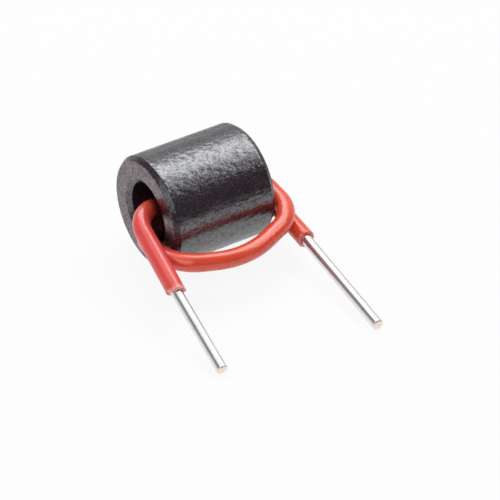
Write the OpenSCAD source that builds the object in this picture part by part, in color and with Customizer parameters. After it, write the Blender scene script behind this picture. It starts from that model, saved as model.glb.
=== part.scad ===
// Ferrite bead choke: a sintered tube core with an insulated wire wound through it one and a half times.
// Frame: +X along the core, leads towards -Y, +Z up, lying on a flat surface as it comes to rest.

/* [Ferrite core] */
// Outside diameter of the core
core_d = 6; // [5.4:0.1:7]
// Length of the core
core_length = 6; // [5.4:0.1:8]
// Diameter of the bore through the core
bore_d = 3.2; // [3:0.1:4]
// Chamfer round each outer rim
rim_chamfer = 0.18; // [0.05:0.01:0.25]
// Chamfer round each mouth of the bore
mouth_chamfer = 0.12; // [0.05:0.01:0.2]

/* [Wire] */
// Diameter of the tinned copper conductor
wire_d = 0.6; // [0.4:0.02:0.7]
// Outside diameter of the insulation
insulation_d = 0.96; // [0.88:0.02:1]
// Bare length of the left lead
left_bare = 5; // [3:0.1:5.6]
// Bare length of the right lead
right_bare = 6.9; // [3:0.1:7.5]

/* [Leads] */
// Distance from the axis of the core to the tip of the left lead
left_reach = 10.05; // [9:0.05:14]
// Distance from the axis of the core to the tip of the right lead
right_reach = 11.2; // [10:0.1:15]
// How far the left lead leans outwards from its bend to its tip
left_splay = 0.8; // [0:0.05:2]
// How far the right lead leans inwards from its bend to its tip
right_lean = 0.4; // [0:0.05:1]
// Distance from the left end of the core to the line of the left lead
left_stand = 1.05; // [1:0.05:1.4]
// Distance from the right end of the core to the line of the right lead
right_stand = 0.95; // [0.9:0.05:1.4]
// How far each lead bows outwards where its insulation ends
lead_bow = 0.08; // [0.06:0.01:0.3]

/* [Passes through the bore] */
// Clearance where the wire lies against the core or on itself
lay_gap = 0.05; // [0.02:0.01:0.1]
// Height of the first pass above the axis where it comes in at the left
entry_height = 0.75; // [0.5:0.05:0.8]
// How far in front of the axis the first pass comes in
entry_forward = 0.65; // [0.4:0.05:0.7]
// How far in front of the axis the second pass comes in
return_forward = 0.25; // [0.15:0.05:0.45]
// How far the second pass is lifted off the bottom of the bore where it goes out at the right
exit_lift = 0.05; // [0.02:0.01:0.1]

/* [Loop] */
// Distance from the front of the core to the middle corner of the loop
loop_reach = 1.9; // [1.7:0.05:2.5]
// How far the middle corner hangs below the first pass
loop_drop = 0.95; // [0.8:0.05:1.1]
// Distance from the front of the core to the right corner of the loop
right_front = 0.55; // [0.5:0.05:0.7]
// Distance from the front of the core to the left corner of the loop
left_front = 0.8; // [0.6:0.05:0.9]
// How far the right corner hangs below the first pass
right_dip = 0.45; // [0.3:0.05:0.6]
// How far the left corner stands above the second pass
left_rise = 0.35; // [0.2:0.05:0.4]
// How far the right corner stands off the right end of the core
right_side = 0.1; // [0.08:0.01:0.3]
// How far the left corner stands off the left end of the core
left_side = 0.08; // [0.06:0.01:0.15]

/* [Bend radii] */
// Bend of the left lead where it enters the core
left_lead_bend = 1.5; // [1.2:0.1:1.8]
// Bend of the loop where it leaves the core
loop_start_bend = 1.3; // [1:0.1:1.4]
// Two side bends of the loop
loop_side_bend = 1.9; // [1.6:0.1:2]
// Bend across the front of the loop
loop_front_bend = 4.6; // [4:0.1:4.8]
// Bend of the loop where it enters the core again
loop_end_bend = 1.1; // [0.9:0.05:1.15]
// Bend of the right lead where it leaves the core
right_lead_bend = 0.95; // [0.8:0.05:1.1]
// Slight bend of each lead where its insulation ends
slight_bend = 6; // [2:0.5:8]

/* [Hidden] */
wire_facets = 32;
core_facets = 96;
// A straight run reaches into the bends beside it and is a hair thicker, so that they join as one solid
join_reach = 0.01;
join_step = 0.002;

core_r = core_d / 2;
half_length = core_length / 2;
bore_r = bore_d / 2;
wire_r = wire_d / 2;
insulation_r = insulation_d / 2;
// Slip fit of the insulation on the conductor
skin_gap = 0.01;

// Places for the wire's centre line: from the axis inside the bore, and from the middle outside an end
bore_room = bore_r - insulation_r - lay_gap;
end_line = half_length + insulation_r + lay_gap;
left_line = half_length + left_stand;
right_line = half_length + right_stand;
floor_line = -core_r + wire_r;
// Heights from the axis: the second pass lies low in the bore, and the first lies on it at the right
return_pass = -sqrt(pow(bore_room, 2) - pow(return_forward, 2));
low_pass = exit_lift - bore_room;
high_pass = low_pass + insulation_d + lay_gap;

// Corners of the wire's centre line, from the left tip to the right tip, from the middle of the core
left_tip = [-left_line - left_splay, -left_reach, floor_line];
left_entry = [-left_line, -entry_forward, entry_height];
loop_start = [end_line + right_side, 0, high_pass];
loop_right = [end_line + right_side, -core_r - right_front, high_pass - right_dip];
loop_front = [0, -core_r - loop_reach, high_pass - loop_drop];
loop_left = [-end_line - left_side, -core_r - left_front, return_pass + left_rise];
loop_end = [-end_line, -return_forward, return_pass];
right_exit = [right_line, 0, low_pass];
right_tip = [right_line - right_lean, -right_reach, floor_line];
left_slight = slight_corner(left_tip, left_entry, left_bare, [-1, 0, 0]);
right_slight = slight_corner(right_tip, right_exit, right_bare, [1, 0, 0]);
ROUTE = [
    left_tip, left_slight, left_entry, loop_start, loop_right, loop_front,
    loop_left, loop_end, right_exit, right_slight, right_tip
];
BENDS = [
    0, slight_bend, left_lead_bend, loop_start_bend, loop_side_bend, loop_front_bend,
    loop_side_bend, loop_end_bend, right_lead_bend, slight_bend, 0
];
last = len(ROUTE) - 1;

// The origin is the middle of the base of the whole part's box
box_left = left_tip[0] - wire_r;
box_right = right_line + insulation_r;
box_front = -right_reach;
box_back = core_r;
middle = [-(box_left + box_right) / 2, -(box_front + box_back) / 2, core_r];

function unit(v) = v / norm(v);
// Corner of a lead's slight bend, placed so that the bare length ahead of it is straight
function slight_corner(tip, entry, bare, outwards) =
    let (
        along = unit(entry - tip),
        covered = norm(entry - tip) - bare,
        lean = atan(lead_bow / bare) + atan(lead_bow / covered)
    )
    tip + along * (bare + slight_bend * tan(lean / 2)) + outwards * lead_bow;
function heading(i) = unit(ROUTE[i + 1] - ROUTE[i]);
function reach(i) = norm(ROUTE[i + 1] - ROUTE[i]);
function turn(i) = acos(heading(i - 1) * heading(i));
// Length of straight line that a bend takes up on each side of its corner
function setback(i) = (i == 0 || i == last) ? 0 : BENDS[i] * tan(turn(i) / 2);

// Where the round bar of a straight run starts and ends, from the corner before it
function start_of(i) = i == 0 ? 0 : setback(i) - join_reach;
function end_of(i) = reach(i) - (i == last - 1 ? 0 : setback(i + 1) - join_reach);

// Puts a piece drawn on plain axes at a point of the wire, on three square axes
module on_axes(point, x, y, z) {
    multmatrix([
        [x[0], y[0], z[0], point[0]],
        [x[1], y[1], z[1], point[1]],
        [x[2], y[2], z[2], point[2]]
    ]) children();
}

// Round bar along the straight line from corner i to the next, from one place to another along it
module straight_run(i, radius, from, to) {
    along = heading(i);
    side = unit(cross(along, [0, 0, 1]));
    on_axes(ROUTE[i] + along * from, side, cross(along, side), along)
        cylinder(r = radius + join_step, h = to - from, $fn = wire_facets);
}

// Round bar that turns from one straight line to the next at corner i
module bend(i, radius) {
    along = heading(i - 1);
    inwards = unit(heading(i) - along * (heading(i) * along));
    start = ROUTE[i] - along * setback(i);
    on_axes(start + inwards * BENDS[i], -inwards, along, cross(-inwards, along))
        rotate_extrude(angle = turn(i), $fn = wire_facets)
            translate([BENDS[i], 0])
                circle(radius);
}

// The formed wire as one round bar, less the given number of straight runs at each tip
module formed_bar(radius, left_off) {
    for (i = [left_off : last - 1 - left_off])
        straight_run(i, radius, start_of(i), end_of(i));
    for (i = [1 : last - 1])
        bend(i, radius);
}

// Tube with chamfered rims and bore mouths, sintered in one piece
module ferrite_core() {
    wall = [
        [bore_r + mouth_chamfer, -half_length],
        [core_r - rim_chamfer, -half_length],
        [core_r, -half_length + rim_chamfer],
        [core_r, half_length - rim_chamfer],
        [core_r - rim_chamfer, half_length],
        [bore_r + mouth_chamfer, half_length],
        [bore_r, half_length - mouth_chamfer],
        [bore_r, -half_length + mouth_chamfer]
    ];
    color("dimgray")
        translate(middle)
            rotate([0, 90, 0])
                rotate_extrude($fn = core_facets)
                    polygon(wall);
}

// Tinned copper wire, bare at both tips
module conductor() {
    color("silver")
        translate(middle)
            formed_bar(wire_r, 0);
}

// Insulation, stripped from the last straight run at each tip
module insulation() {
    color("tomato")
        translate(middle)
            difference() {
                formed_bar(insulation_r, 1);
                formed_bar(wire_r + skin_gap, 0);
            }
}

ferrite_core();
conductor();
insulation();
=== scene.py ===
"""Ferrite bead on a wire: the sintered core, the formed tinned conductor and its red insulation."""

import math

import bpy
from mathutils import Matrix, Vector


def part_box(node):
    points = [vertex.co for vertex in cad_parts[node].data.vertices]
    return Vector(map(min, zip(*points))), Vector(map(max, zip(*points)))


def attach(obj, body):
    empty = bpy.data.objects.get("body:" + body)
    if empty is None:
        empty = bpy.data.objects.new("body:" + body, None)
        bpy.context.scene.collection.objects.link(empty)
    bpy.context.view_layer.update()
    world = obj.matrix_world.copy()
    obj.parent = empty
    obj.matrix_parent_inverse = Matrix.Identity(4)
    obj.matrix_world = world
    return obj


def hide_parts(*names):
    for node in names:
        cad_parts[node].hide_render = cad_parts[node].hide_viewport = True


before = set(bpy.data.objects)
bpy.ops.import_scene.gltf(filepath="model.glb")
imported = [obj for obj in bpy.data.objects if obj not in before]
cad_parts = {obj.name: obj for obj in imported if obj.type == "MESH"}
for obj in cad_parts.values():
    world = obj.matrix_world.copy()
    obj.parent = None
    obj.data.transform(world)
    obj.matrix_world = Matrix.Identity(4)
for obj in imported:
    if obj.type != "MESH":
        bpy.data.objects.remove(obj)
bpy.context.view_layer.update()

# Sizes in millimetres, as in the part's own drawing; MM turns them into Blender's metres
MM = 0.001
CORE_D = 6.0
CORE_LENGTH = 6.0
BORE_D = 3.2
WIRE_D = 0.6
INSULATION_D = 0.96
LEFT_BARE = 5.0
RIGHT_BARE = 6.9
LEFT_REACH = 10.05
RIGHT_REACH = 11.2
LEFT_SPLAY = 0.8
RIGHT_LEAN = 0.4
LEFT_STAND = 1.05
RIGHT_STAND = 0.95
LEAD_BOW = 0.08
LAY_GAP = 0.05
ENTRY_HEIGHT = 0.75
ENTRY_FORWARD = 0.65
RETURN_FORWARD = 0.25
EXIT_LIFT = 0.05
LOOP_REACH = 1.9
LOOP_DROP = 0.95
RIGHT_FRONT = 0.55
LEFT_FRONT = 0.8
RIGHT_DIP = 0.45
LEFT_RISE = 0.35
RIGHT_SIDE = 0.1
LEFT_SIDE = 0.08
LEFT_LEAD_BEND = 1.5
LOOP_START_BEND = 1.3
LOOP_SIDE_BEND = 1.9
LOOP_FRONT_BEND = 4.6
LOOP_END_BEND = 1.1
RIGHT_LEAD_BEND = 0.95
SLIGHT_BEND = 6.0

CORE_R = CORE_D / 2
HALF_LENGTH = CORE_LENGTH / 2
BORE_R = BORE_D / 2
WIRE_R = WIRE_D / 2
INSULATION_R = INSULATION_D / 2


# The wire's route

def slight_corner(tip, entry, bare, outwards):
    """Corner of a lead's slight bend, where its insulation ends."""
    along = (entry - tip).normalized()
    covered = (entry - tip).length - bare
    lean = math.atan(LEAD_BOW / bare) + math.atan(LEAD_BOW / covered)
    return tip + along * (bare + SLIGHT_BEND * math.tan(lean / 2)) + outwards * LEAD_BOW


def route_corners():
    """Corners and bend radii of the wire's centre line, from the middle of the core."""
    bore_room = BORE_R - INSULATION_R - LAY_GAP
    end_line = HALF_LENGTH + INSULATION_R + LAY_GAP
    left_line, right_line = HALF_LENGTH + LEFT_STAND, HALF_LENGTH + RIGHT_STAND
    floor_line = -CORE_R + WIRE_R
    return_pass = -math.sqrt(bore_room ** 2 - RETURN_FORWARD ** 2)
    low_pass = EXIT_LIFT - bore_room
    high_pass = low_pass + INSULATION_D + LAY_GAP
    left_tip = Vector((-left_line - LEFT_SPLAY, -LEFT_REACH, floor_line))
    left_entry = Vector((-left_line, -ENTRY_FORWARD, ENTRY_HEIGHT))
    loop_start = Vector((end_line + RIGHT_SIDE, 0, high_pass))
    loop_right = Vector((end_line + RIGHT_SIDE, -CORE_R - RIGHT_FRONT, high_pass - RIGHT_DIP))
    loop_front = Vector((0, -CORE_R - LOOP_REACH, high_pass - LOOP_DROP))
    loop_left = Vector((-end_line - LEFT_SIDE, -CORE_R - LEFT_FRONT, return_pass + LEFT_RISE))
    loop_end = Vector((-end_line, -RETURN_FORWARD, return_pass))
    right_exit = Vector((right_line, 0, low_pass))
    right_tip = Vector((right_line - RIGHT_LEAN, -RIGHT_REACH, floor_line))
    left_slight = slight_corner(left_tip, left_entry, LEFT_BARE, Vector((-1, 0, 0)))
    right_slight = slight_corner(right_tip, right_exit, RIGHT_BARE, Vector((1, 0, 0)))
    return [
        (left_tip, 0), (left_slight, SLIGHT_BEND), (left_entry, LEFT_LEAD_BEND),
        (loop_start, LOOP_START_BEND), (loop_right, LOOP_SIDE_BEND), (loop_front, LOOP_FRONT_BEND),
        (loop_left, LOOP_SIDE_BEND), (loop_end, LOOP_END_BEND), (right_exit, RIGHT_LEAD_BEND),
        (right_slight, SLIGHT_BEND), (right_tip, 0),
    ]


ROUTE_STEP = 0.04


def core_middle():
    """Middle of the core in the frame."""
    low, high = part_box("ferrite_core")
    return (Vector(low) + Vector(high)) / 2 / MM


def wire_route():
    """Points along the wire, each with the direction of its bend's centre times its curvature."""
    corners = route_corners()
    middle = core_middle()
    points = []

    def straight(start, end):
        steps = max(1, math.ceil((end - start).length / ROUTE_STEP))
        for k in range(steps):
            points.append((middle + start.lerp(end, k / steps), Vector()))

    at = corners[0][0]
    for (before, _), (corner, radius), (after, _) in zip(corners, corners[1:], corners[2:]):
        into, out_of = (corner - before).normalized(), (after - corner).normalized()
        turn = into.angle(out_of)
        setback = radius * math.tan(turn / 2)
        start = corner - into * setback
        inwards = (out_of - into * out_of.dot(into)).normalized()
        centre = start + inwards * radius
        straight(at, start)
        steps = max(2, math.ceil(turn * radius / ROUTE_STEP))
        for k in range(steps):
            angle = turn * k / steps
            spoke = -inwards * math.cos(angle) + into * math.sin(angle)
            points.append((middle + centre + spoke * radius, -spoke / radius))
        at = corner + out_of * setback
    straight(at, corners[-1][0])
    points.append((middle + corners[-1][0], Vector()))
    return points


def point_string(name, points, values=()):
    """A string of points joined by edges, in metres, with named vectors on its points."""
    mesh = bpy.data.meshes.new(name)
    edges = [(k, k + 1) for k in range(len(points) - 1)]
    mesh.from_pydata([tuple(p * MM) for p in points], edges, [])
    for label, vectors in values:
        layer = mesh.attributes.new(label, "FLOAT_VECTOR", "POINT")
        for item, vector in zip(layer.data, vectors):
            item.vector = vector
    guide = bpy.data.objects.new(name, mesh)
    bpy.context.scene.collection.objects.link(guide)
    return guide


# A wall turned along a route, by Geometry Nodes

class Tree:
    """A node tree written as plain calls."""

    def __init__(self, data):
        self.data = data

    def add(self, kind, values=(), **settings):
        node = self.data.nodes.new(kind)
        for name, value in settings.items():
            setattr(node, name, value)
        for key, value in dict(values).items():
            socket = node.inputs[key]
            if isinstance(value, bpy.types.NodeSocket):
                self.data.links.new(value, socket)
            else:
                socket.default_value = value
        return node

    def math(self, operation, *values):
        return self.add("ShaderNodeMath", enumerate(values), operation=operation).outputs[0]

    def vector(self, operation, *values):
        node = self.add("ShaderNodeVectorMath", enumerate(values), operation=operation)
        return node.outputs["Value" if operation in ("DOT_PRODUCT", "LENGTH") else "Vector"]

    def scaled(self, vector, factor):
        node = self.add("ShaderNodeVectorMath", {"Vector": vector, "Scale": factor}, operation="SCALE")
        return node.outputs["Vector"]

    def combined(self, x, y, z):
        return self.add("ShaderNodeCombineXYZ", {"X": x, "Y": y, "Z": z}).outputs[0]

    def parts(self, vector):
        return self.add("ShaderNodeSeparateXYZ", {"Vector": vector}).outputs


INPUTS = [
    ("Route", "NodeSocketObject", None),
    ("Outline", "NodeSocketObject", None),
    ("Facets round", "NodeSocketInt", 96),
    ("Rings", "NodeSocketInt", 2),
    ("Cut slant", "NodeSocketFloat", 0.0),
    ("Wrinkle depth", "NodeSocketFloat", 0.0),
    ("Wrinkle spacing", "NodeSocketFloat", 0.00025),
    ("Unevenness", "NodeSocketFloat", 0.0),
    ("Unevenness size", "NodeSocketFloat", 0.001),
    ("Chip depth", "NodeSocketFloat", 0.0),
    ("Chip size", "NodeSocketFloat", 0.0002),
    ("Seed", "NodeSocketFloat", 0.0),
    ("Finish", "NodeSocketMaterial", None),
]


def turned_wall_tree():
    """Turns an outline round a route. A point of the outline gives a ring: x is how far along, y its radius.

    The outline's z is 1 on a cut face or a worn edge and 0 elsewhere.
    """
    group = bpy.data.node_groups.new("Wall turned along a route", "GeometryNodeTree")
    for name, kind, value in INPUTS:
        socket = group.interface.new_socket(name, in_out="INPUT", socket_type=kind)
        if value is not None:
            socket.default_value = value
    group.interface.new_socket("Geometry", in_out="OUTPUT", socket_type="NodeSocketGeometry")
    t = Tree(group)
    given = t.add("NodeGroupInput").outputs

    def drawn(name):
        return t.add("GeometryNodeObjectInfo", {"Object": given[name]}).outputs["Geometry"]

    rounds = t.math("ADD", given["Facets round"], 1.0)
    grid = t.add("GeometryNodeMeshGrid", {
        "Size X": MM, "Size Y": MM, "Vertices X": given["Rings"], "Vertices Y": rounds,
    }).outputs["Mesh"]
    index = t.add("GeometryNodeInputIndex").outputs[0]
    ring = t.math("FLOOR", t.math("DIVIDE", t.math("ADD", index, 0.5), rounds))
    round_share = t.math("DIVIDE", t.math("SUBTRACT", index, t.math("MULTIPLY", ring, rounds)), given["Facets round"])
    angle = t.math("MULTIPLY", round_share, math.tau)

    place = t.add("GeometryNodeInputPosition").outputs[0]
    outline = t.add("GeometryNodeSampleIndex", {"Geometry": drawn("Outline"), "Value": place, "Index": ring}, data_type="FLOAT_VECTOR", domain="POINT").outputs["Value"]
    along, radius, marked = t.parts(outline)
    edge = t.math("DIVIDE", marked, MM)

    # A cut face leans and wavers a little round the wire
    lean = t.math("SINE", t.math("ADD", angle, given["Seed"]))
    waver = t.math("MULTIPLY", t.math("SINE", t.math("ADD", t.math("MULTIPLY", angle, 3.0), given["Seed"])), 0.25)
    slant = t.math("MULTIPLY", t.math("MULTIPLY", t.math("ADD", lean, waver), given["Cut slant"]), edge)
    along_cut = t.math("ADD", along, slant)

    curve = t.add("GeometryNodeMeshToCurve", {"Mesh": drawn("Route")}).outputs["Curve"]
    bend = t.add("GeometryNodeInputNamedAttribute", {"Name": "bend"}, data_type="FLOAT_VECTOR").outputs["Attribute"]
    sample = t.add("GeometryNodeSampleCurve", {"Curves": curve, "Value": bend, "Length": along_cut}, data_type="FLOAT_VECTOR", mode="LENGTH", use_all_curves=True)
    tangent, normal = sample.outputs["Tangent"], sample.outputs["Normal"]
    side = t.vector("CROSS_PRODUCT", tangent, normal)
    spoke = t.vector("ADD", t.scaled(normal, t.math("COSINE", angle)), t.scaled(side, t.math("SINE", angle)))

    # Wrinkles gather on the inside of a bend
    inside = t.math("MAXIMUM", t.math("SUBTRACT", t.vector("DOT_PRODUCT", spoke, sample.outputs["Value"]), 0.3), 0.0)
    wander = t.add("ShaderNodeTexNoise", {"Vector": t.scaled(t.combined(along, round_share, 0.0), 900.0), "Scale": 1.0, "Detail": 1.0}).outputs["Fac"]
    phase = t.math("ADD", t.math("MULTIPLY", t.math("DIVIDE", along, given["Wrinkle spacing"]), math.tau), t.math("MULTIPLY", wander, 4.0))
    fold = t.math("MULTIPLY", t.math("ADD", t.math("SINE", phase), 1.0), 0.5)
    wrinkle = t.math("MULTIPLY", t.math("MULTIPLY", inside, fold), given["Wrinkle depth"])

    straight_place = t.vector("ADD", sample.outputs["Position"], t.scaled(spoke, radius))
    swell = t.add("ShaderNodeTexNoise", {"Vector": t.vector("DIVIDE", straight_place, t.combined(given["Unevenness size"], given["Unevenness size"], given["Unevenness size"])), "Scale": 1.0, "Detail": 2.0}).outputs["Fac"]
    chips = t.add("ShaderNodeTexNoise", {"Vector": t.vector("DIVIDE", straight_place, t.combined(given["Chip size"], given["Chip size"], given["Chip size"])), "Scale": 1.0, "Detail": 3.0}).outputs["Fac"]
    chip = t.math("MULTIPLY", t.math("MULTIPLY", t.math("MAXIMUM", t.math("SUBTRACT", chips, 0.5), 0.0), given["Chip depth"]), edge)
    loss = t.math("ADD", t.math("ADD", wrinkle, t.math("MULTIPLY", swell, given["Unevenness"])), chip)
    kept = t.math("MAXIMUM", t.math("SUBTRACT", radius, loss), 0.0)
    kept = t.math("MINIMUM", kept, radius)
    final = t.vector("ADD", sample.outputs["Position"], t.scaled(spoke, kept))

    shaped = t.add("GeometryNodeSetPosition", {"Geometry": grid, "Position": final}).outputs["Geometry"]
    layout = t.combined(t.math("DIVIDE", along, MM), round_share, 0.0)
    kept_values = t.add("GeometryNodeCaptureAttribute", {"Geometry": grid})
    kept_values.capture_items.new("VECTOR", "Layout")
    kept_values.capture_items.new("FLOAT", "Edge")
    t.data.links.new(layout, kept_values.inputs[1])
    t.data.links.new(edge, kept_values.inputs[2])
    t.data.links.new(kept_values.outputs[0], shaped.node.inputs["Geometry"])
    uv = t.add("GeometryNodeStoreNamedAttribute", {"Geometry": shaped, "Name": "UVMap", "Value": kept_values.outputs[1]}, data_type="FLOAT2", domain="CORNER").outputs["Geometry"]
    worn = t.add("GeometryNodeStoreNamedAttribute", {"Geometry": uv, "Name": "edge", "Value": kept_values.outputs[2]}, data_type="FLOAT", domain="POINT").outputs["Geometry"]
    closed = t.add("GeometryNodeMergeByDistance", {"Geometry": worn, "Distance": 1e-7}).outputs["Geometry"]
    smooth = t.add("GeometryNodeSetShadeSmooth", {"Geometry": closed, "Shade Smooth": True}).outputs["Geometry"]
    real = t.add("GeometryNodeRealizeInstances", {"Geometry": smooth}).outputs["Geometry"]
    finished = t.add("GeometryNodeSetMaterial", {"Geometry": real, "Material": given["Finish"]}).outputs["Geometry"]
    t.add("NodeGroupOutput", {"Geometry": finished})
    return group


def turned_piece(name, tree, route, outline_points, finish, facets, **sizes):
    """One plain mesh, made by the tree from a route and an outline in millimetres."""
    outline = point_string(name + "_outline", [Vector(p) for p in outline_points])
    maker = bpy.data.objects.new(name + "_maker", bpy.data.meshes.new(name + "_maker"))
    bpy.context.scene.collection.objects.link(maker)
    modifier = maker.modifiers.new("Turned wall", "NODES")
    modifier.node_group = tree
    given = {
        "Route": route, "Outline": outline, "Facets round": facets, "Rings": len(outline_points), "Finish": finish,
        **{label.replace("_", " ").capitalize(): value for label, value in sizes.items()},
    }
    for socket in tree.interface.items_tree:
        if socket.in_out == "INPUT" and socket.name in given:
            modifier[socket.identifier] = given[socket.name]
    evaluated = maker.evaluated_get(bpy.context.evaluated_depsgraph_get())
    piece = bpy.data.objects.new(name, bpy.data.meshes.new_from_object(evaluated))
    piece.data.name = name
    bpy.context.scene.collection.objects.link(piece)
    for helper in (maker, outline):
        bpy.data.objects.remove(helper)
    return piece


# Outlines, as (along, radius, edge) in millimetres

def rounded_outline(corners, fillet, step, closed=False):
    """Runs between corners with each corner softened by a small arc. A corner is (along, radius, edge)."""
    points = []
    count = len(corners)
    for k, (x, y, worn) in enumerate(corners):
        corner = Vector((x, y))
        if not closed and k in (0, count - 1):
            points.append((x, y, worn))
            continue
        before, after = Vector(corners[k - 1][:2]), Vector(corners[(k + 1) % count][:2])
        into, out_of = (corner - before).normalized(), (after - corner).normalized()
        soft = min(fillet, (corner - before).length / 2.2, (after - corner).length / 2.2)
        for share in (0.0, 0.2, 0.4, 0.6, 0.8, 1.0):
            bow = (corner - into * soft) * (1 - share) ** 2 + corner * 2 * share * (1 - share) + (corner + out_of * soft) * share ** 2
            points.append((bow.x, bow.y, worn))
    if closed:
        points.append(points[0])
    filled = [points[0]]
    for (x0, y0, e0), (x1, y1, e1) in zip(points, points[1:]):
        steps = max(1, math.ceil(math.hypot(x1 - x0, y1 - y0) / step))
        for k in range(1, steps + 1):
            share = k / steps
            filled.append((x0 + (x1 - x0) * share, y0 + (y1 - y0) * share, e0 + (e1 - e0) * share))
    return filled


# Finishes

def material(name, surface):
    """A new material with a Principled BSDF, shaded by the function given."""
    made = bpy.data.materials.new(name)
    made.use_nodes = True
    t = Tree(made.node_tree)
    surface(t, made.node_tree.nodes["Principled BSDF"])
    return made


def link(t, source, target):
    t.data.links.new(source, target)


def ramp(t, value, stops):
    """A colour ramp from (position, colour) stops."""
    node = t.add("ShaderNodeValToRGB", {"Fac": value})
    elements = node.color_ramp.elements
    while len(elements) < len(stops):
        elements.new(0.5)
    for element, (position, colour) in zip(elements, stops):
        element.position = position
        element.color = (*colour, 1.0) if isinstance(colour, tuple) else (colour, colour, colour, 1.0)
    return node.outputs["Color"]


def in_millimetres(t):
    """Object coordinates in millimetres."""
    return t.scaled(t.add("ShaderNodeTexCoord").outputs["Object"], 1 / MM)


def noise(t, where, scale, detail=2.0, roughness=0.5):
    return t.add("ShaderNodeTexNoise", {"Vector": where, "Scale": scale, "Detail": detail, "Roughness": roughness}).outputs["Fac"]


def mixed(t, share, first, second):
    """A colour between two, by a share."""
    node = t.add("ShaderNodeMix", {0: share, 6: first, 7: second}, data_type="RGBA")
    return node.outputs[2]


def sintered_ferrite(t, shader):
    where = in_millimetres(t)
    cloud = noise(t, where, 0.8, 4.0)
    grain = noise(t, where, 10.0, 2.0, 0.5)
    patches = noise(t, where, 2.6, 2.0, 0.6)
    pores = t.math("ADD", t.math("MULTIPLY", noise(t, where, 9.0, 2.0, 0.6), 0.7), t.math("MULTIPLY", patches, 0.3))
    across = t.parts(t.add("ShaderNodeTexCoord").outputs["Normal"])[0]
    across = t.math("ABSOLUTE", across)
    on_end = t.add("ShaderNodeMapRange", {"Value": across, "From Min": 0.75, "From Max": 0.95}).outputs[0]
    off_side = t.add("ShaderNodeMapRange", {"Value": across, "From Min": 0.15, "From Max": 0.45}).outputs[0]
    off_end = t.add("ShaderNodeMapRange", {"Value": across, "From Min": 0.85, "From Max": 0.7}).outputs[0]
    on_rim = t.math("MULTIPLY", off_side, off_end)
    dark = ramp(t, cloud, [(0.3, (0.019, 0.007, 0.014)), (0.7, (0.028, 0.013, 0.021))])
    pale = ramp(t, pores, [(0.58, 0.0), (0.75, 1.0)])
    link(t, mixed(t, pale, dark, (0.09, 0.075, 0.085, 1.0)), shader.inputs["Base Color"])
    # Painted reflection colour: reflections are tinted cool on the side and pink on the end faces, in place of the
    # colour of the light they mirror
    link(t, mixed(t, on_end, (0.94, 0.98, 1.0, 1.0), (1.0, 0.84, 0.91, 1.0)), shader.inputs["Specular Tint"])
    polish = t.math("ADD", 0.1, t.math("MULTIPLY", grain, 0.28))
    link(t, t.math("ADD", polish, t.math("MULTIPLY", on_end, 0.03)), shader.inputs["Roughness"])
    level = t.add("ShaderNodeRGBToBW", {"Color": ramp(t, pores, [(0.37, 0.22), (0.5, 0.46), (0.63, 0.58)])}).outputs[0]
    speckle = t.math("MULTIPLY", t.math("MULTIPLY", t.math("SUBTRACT", pores, 0.46), 1.15), on_end)
    dulled = t.math("SUBTRACT", 1.0, t.math("MULTIPLY", on_rim, 0.5))
    link(t, t.math("MULTIPLY", t.math("ADD", level, speckle), dulled), shader.inputs["Specular IOR Level"])
    shader.inputs["IOR"].default_value = 2.25
    relief = t.add("ShaderNodeBump", {"Height": grain, "Strength": 0.8, "Distance": 0.000012})
    link(t, relief.outputs["Normal"], shader.inputs["Normal"])


def tinned_copper(t, shader):
    where = in_millimetres(t)
    lengthwise = t.add("ShaderNodeUVMap", uv_map="UVMap").outputs["UV"]
    drawn = noise(t, t.vector("MULTIPLY", lengthwise, (0.6, 60.0, 1.0)), 1.0, 3.0)
    mottle = noise(t, where, 3.0, 3.0)
    cut = t.add("ShaderNodeAttribute", attribute_name="edge").outputs["Fac"]
    tin = ramp(t, mottle, [(0.3, (0.74, 0.735, 0.745)), (0.7, (0.84, 0.835, 0.84))])
    link(t, mixed(t, cut, tin, (0.97, 0.82, 0.74, 1.0)), shader.inputs["Base Color"])
    polish = t.math("ADD", 0.16, t.math("MULTIPLY", drawn, 0.14))
    link(t, t.math("ADD", polish, t.math("MULTIPLY", cut, 0.25)), shader.inputs["Roughness"])
    shader.inputs["Metallic"].default_value = 1.0
    relief = t.add("ShaderNodeBump", {"Height": drawn, "Strength": 0.12, "Distance": 0.00002})
    link(t, relief.outputs["Normal"], shader.inputs["Normal"])


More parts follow.
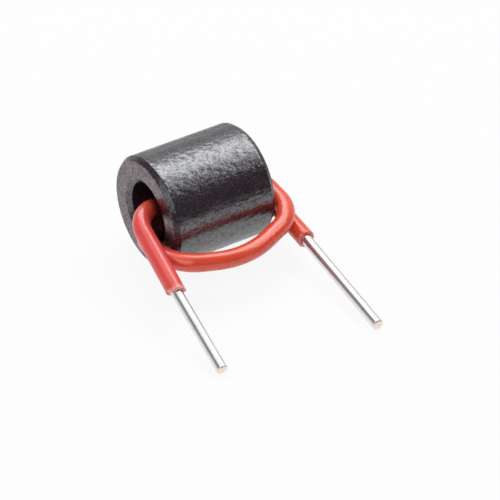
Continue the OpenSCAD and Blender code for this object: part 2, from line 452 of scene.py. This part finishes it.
def red_insulation(t, shader):
    where = in_millimetres(t)
    cloud = noise(t, where, 1.3, 3.0)
    skin = noise(t, where, 6.0, 3.0)
    from_middle = t.vector("SUBTRACT", where, tuple(core_middle()))
    sideways, depth, height = t.parts(from_middle)

    def shared(value, low, high):
        return t.add("ShaderNodeMapRange", {"Value": value, "From Min": low, "From Max": high}, interpolation_type="SMOOTHSTEP").outputs[0]

    # Pinker on the left lead, more orange round the loop, pale at the stripped ends, and painted dark deep in the bore:
    # a painted shade where the sleeve lies in the core's shadow
    lead = ramp(t, cloud, [(0.3, (0.83, 0.075, 0.066)), (0.7, (0.9, 0.10, 0.09))])
    loop = ramp(t, cloud, [(0.3, (0.84, 0.08, 0.036)), (0.7, (0.92, 0.11, 0.05))])
    red = mixed(t, shared(sideways, -4.1, -3.0), lead, loop)
    off_axis = t.vector("LENGTH", t.combined(0.0, depth, height))
    # Painted shade: inside the core's bore the sleeve's red is darkened towards a dark maroon
    painted_bore_shade = t.math("MULTIPLY", shared(t.math("ABSOLUTE", sideways), 3.35, 2.8), shared(off_axis, 2.0, 1.6))
    stretched = t.math("MULTIPLY", t.add("ShaderNodeAttribute", attribute_name="edge").outputs["Fac"], 0.6)
    red = mixed(t, stretched, red, (0.95, 0.55, 0.48, 1.0))
    link(t, mixed(t, painted_bore_shade, red, (0.09, 0.012, 0.014, 1.0)), shader.inputs["Base Color"])
    link(t, ramp(t, skin, [(0.3, 0.17), (0.7, 0.25)]), shader.inputs["Roughness"])
    shader.inputs["IOR"].default_value = 1.6
    shader.inputs["Specular IOR Level"].default_value = 0.62
    shader.inputs["Subsurface Weight"].default_value = 0.35
    shader.inputs["Subsurface Radius"].default_value = (1.0, 0.25, 0.12)
    shader.inputs["Subsurface Scale"].default_value = 0.35 * MM
    relief = t.add("ShaderNodeBump", {"Height": skin, "Strength": 0.25, "Distance": 0.000015})
    link(t, relief.outputs["Normal"], shader.inputs["Normal"])


# Pieces

def straight_route(name, half):
    """The core's own axis, through its middle."""
    middle = core_middle()
    ends = [middle + Vector((-half, 0, 0)), middle + Vector((half, 0, 0))]
    return point_string(name, ends, [("bend", [Vector(), Vector()])])


# Chamfers of the visible core, a little wider than the drawing's because tumbling wears them
RIM_ALONG, RIM_INWARDS = 0.26, 0.2
MOUTH_ALONG, MOUTH_OUTWARDS = 0.22, 0.3


def core_outline():
    """Bore, mouths, end faces, rims and side, from the left mouth round and back to it."""
    length = CORE_LENGTH
    corners = [
        (MOUTH_ALONG, BORE_R, 0.6), (0, BORE_R + MOUTH_OUTWARDS, 1), (0, CORE_R - RIM_INWARDS, 1),
        (RIM_ALONG, CORE_R, 1), (length - RIM_ALONG, CORE_R, 1), (length, CORE_R - RIM_INWARDS, 1),
        (length, BORE_R + MOUTH_OUTWARDS, 1), (length - MOUTH_ALONG, BORE_R, 0.6),
    ]
    return rounded_outline(corners, 0.04, 0.12, closed=True)


def wire_outline(length):
    """The conductor, from its left cut face to its right one."""
    bevel = 0.06
    corners = [
        (0, 0, 1), (0, WIRE_R - bevel, 1), (bevel, WIRE_R, 0.4), (2 * bevel, WIRE_R, 0),
        (length - 2 * bevel, WIRE_R, 0), (length - bevel, WIRE_R, 0.4),
        (length, WIRE_R - bevel, 1), (length, 0, 1),
    ]
    return rounded_outline(corners, 0.02, 0.1)


def sleeve_outline(length):
    """The insulation's outside, its rolled cut lips and a little of its inside at each end."""
    start, end = LEFT_BARE, length - RIGHT_BARE
    inside, depth, lip = WIRE_R + 0.01, 0.6, 0.05
    corners = [
        (start + depth, inside, 0), (start, inside, 1), (start, INSULATION_R - lip, 1),
        (start + lip, INSULATION_R, 1), (start + 4 * lip, INSULATION_R, 0),
        (end - 4 * lip, INSULATION_R, 0), (end - lip, INSULATION_R, 0.4),
        (end, INSULATION_R - lip, 0.4), (end, inside, 0.4), (end - depth, inside, 0),
    ]
    return rounded_outline(corners, 0.03, 0.05)


def build_pieces():
    tree = turned_wall_tree()
    route_points = wire_route()
    places = [p for p, _ in route_points]
    length = sum((b - a).length for a, b in zip(places, places[1:]))
    route = point_string("wire_route", places, [("bend", [b for _, b in route_points])])
    axis = straight_route("core_axis", HALF_LENGTH)
    made = [
        ("sintered_core", "ferrite_core", "ferrite", turned_piece(
            "sintered_core", tree, axis, core_outline(), material("Sintered ferrite", sintered_ferrite), 256,
            unevenness=0.012 * MM, unevenness_size=0.6 * MM, chip_depth=0.12 * MM, chip_size=0.14 * MM)),
        ("formed_conductor", "conductor", "tinned_copper", turned_piece(
            "formed_conductor", tree, route, wire_outline(length), material("Tinned copper", tinned_copper), 64,
            cut_slant=0.02 * MM, unevenness=0.004 * MM, unevenness_size=0.8 * MM)),
        ("red_sleeve", "insulation", "red_insulation", turned_piece(
            "red_sleeve", tree, route, sleeve_outline(length), material("Red insulation", red_insulation), 80,
            cut_slant=0.2 * MM, wrinkle_depth=0.1 * MM, wrinkle_spacing=0.24 * MM,
            unevenness=0.012 * MM, unevenness_size=1.1 * MM, seed=5.67)),
    ]
    for helper in (route, axis):
        bpy.data.objects.remove(helper)
    for _, node, slot, piece in made:
        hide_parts(node)
        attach(piece, "root")


# Studio

CAMERA_AZIMUTH = math.radians(-33.25)
CAMERA_ELEVATION = math.radians(35.47)
CAMERA_DISTANCE = 160.0
CAMERA_TARGET = Vector((0.848, -0.211, 1.956))
LENS = 230.0


def stand_camera():
    """A long lens at the photograph's angle."""
    ca, sa = math.cos(CAMERA_AZIMUTH), math.sin(CAMERA_AZIMUTH)
    ce, se = math.cos(CAMERA_ELEVATION), math.sin(CAMERA_ELEVATION)
    back = Vector((sa * ce, -ca * ce, se))
    right = Vector((ca, sa, 0))
    up = back.cross(right)
    data = bpy.data.cameras.new("Camera")
    data.lens = LENS
    data.sensor_width = 36
    data.clip_start = 0.001
    data.clip_end = 20
    camera = bpy.data.objects.new("Camera", data)
    place = (CAMERA_TARGET + back * CAMERA_DISTANCE) * MM
    camera.matrix_world = Matrix.Translation(place) @ Matrix((right, up, back)).transposed().to_4x4()
    bpy.context.scene.collection.objects.link(camera)
    bpy.context.scene.camera = camera


def plain_mesh(name, points, faces, finish):
    mesh = bpy.data.meshes.new(name)
    mesh.from_pydata(points, [], faces)
    mesh.materials.append(finish)
    obj = bpy.data.objects.new(name, mesh)
    bpy.context.scene.collection.objects.link(obj)
    return obj


def pale_floor():
    """A wide pale floor with the object's shadow, white to the camera and, near the object, in reflections."""
    finish = bpy.data.materials.new("Pale floor")
    finish.use_nodes = True
    t = Tree(finish.node_tree)
    t.data.nodes.clear()
    rays = t.add("ShaderNodeLightPath").outputs
    distance = t.math("DIVIDE", t.vector("LENGTH", in_millimetres(t)), 60.0)
    mirrored = t.math("MAXIMUM", rays["Is Glossy Ray"], rays["Is Transmission Ray"])
    near = t.add("ShaderNodeMapRange", {"Value": distance, "From Min": 0.8, "From Max": 0.25}).outputs[0]
    seen = t.math("MAXIMUM", rays["Is Camera Ray"], t.math("MULTIPLY", mirrored, near))
    # Painted fall-off of light: except to the camera, the paper is painted darker away from the object, so reflections
    # see a dim far floor
    dim = ramp(t, distance, [(0.35, (0.82, 0.82, 0.82)), (0.9, (0.2, 0.2, 0.2))])
    paper = t.add("ShaderNodeBsdfDiffuse", {"Color": mixed(t, rays["Is Camera Ray"], dim, (0.82, 0.82, 0.82, 1.0))}).outputs[0]
    white = t.add("ShaderNodeEmission", {"Color": (1, 1, 1, 1), "Strength": 1.0}).outputs[0]
    mix = t.add("ShaderNodeMixShader", {0: t.math("MULTIPLY", seen, 0.9), 1: paper, 2: white}).outputs[0]
    t.add("ShaderNodeOutputMaterial", {"Surface": mix})
    s = 3.0
    plain_mesh("floor", [(-s, -s, 0), (s, -s, 0), (s, s, 0), (-s, s, 0)], [(0, 1, 2, 3)], finish)


def soft_box(name, place, aim, size, radiance):
    data = bpy.data.lights.new(name, "AREA")
    data.shape = "RECTANGLE"
    data.size, data.size_y = size
    data.energy = radiance * math.pi * size[0] * size[1]
    lamp = bpy.data.objects.new(name, data)
    lamp.location = place
    lamp.rotation_euler = (Vector(place) - Vector(aim)).to_track_quat("Z", "Y").to_euler()
    bpy.context.scene.collection.objects.link(lamp)
    return lamp


TENT_RADIUS = 0.9


def dome(radius, rings, sides):
    """Points and faces of a half sphere that stands on the floor."""
    points = [(0, 0, radius)]
    for k in range(1, rings + 1):
        tilt = math.pi / 2 * k / rings
        for j in range(sides):
            turn = math.tau * j / sides
            points.append((
                radius * math.sin(tilt) * math.cos(turn), radius * math.sin(tilt) * math.sin(turn), radius * math.cos(tilt)))
    faces = [(0, 1 + (j + 1) % sides, 1 + j) for j in range(sides)]
    for k in range(rings - 1):
        low, high = 1 + k * sides, 1 + (k + 1) * sides
        faces += [(low + j, low + (j + 1) % sides, high + (j + 1) % sides, high + j) for j in range(sides)]
    return points, faces


def light_tent():
    """A tent of glowing cloth: nearly dark in front, pale overhead and behind, darker low on the left.

    It is hidden from the camera, which sees the plain white world behind.
    """
    world = bpy.data.worlds.new("White studio")
    bpy.context.scene.world = world
    world.use_nodes = True
    world.node_tree.nodes["Background"].inputs["Color"].default_value = (1, 1, 1, 1)

    finish = bpy.data.materials.new("Tent cloth")
    finish.use_nodes = True
    t = Tree(finish.node_tree)
    t.data.nodes.clear()
    outwards = t.vector("NORMALIZE", t.add("ShaderNodeTexCoord").outputs["Object"])
    sideways, behind, height = t.parts(outwards)
    left = ramp(t, height, [(0.0, 0.55), (0.2, 0.42), (0.43, 0.16), (0.55, 0.11), (0.68, 0.13), (0.8, 0.4), (0.9, 1.3)])
    right = ramp(t, height, [(0.0, 1.25), (0.25, 0.45), (0.5, 0.58), (0.62, 0.85), (0.8, 1.5)])

    def shared(value, low, high):
        return t.add("ShaderNodeMapRange", {"Value": value, "From Min": low, "From Max": high}, interpolation_type="SMOOTHSTEP").outputs[0]

    cloth = t.add("ShaderNodeRGBToBW", {"Color": mixed(t, shared(sideways, -0.5, 0.2), left, right)}).outputs[0]
    glow = t.math("ADD", 0.09, t.math("MULTIPLY", cloth, shared(behind, -0.25, 0.3)))
    lit = t.add("ShaderNodeEmission", {"Color": (1, 1, 1, 1), "Strength": glow}).outputs[0]
    t.add("ShaderNodeOutputMaterial", {"Surface": lit})
    tent = plain_mesh("light_tent", *dome(TENT_RADIUS, 16, 48), finish)
    tent.visible_camera = False


def light_studio():
    pale_floor()
    light_tent()
    soft_box("Key", (0.15, 0.086, 0.32), (0, 0, 0), (0.75, 0.14), 2.95)
    soft_box("Fill", (-0.34, -0.2, 0.3), (0, 0, 0), (0.4, 0.4), 1.6)


build_pieces()
stand_camera()
light_studio()
bpy.context.scene.view_settings.view_transform = "Standard"
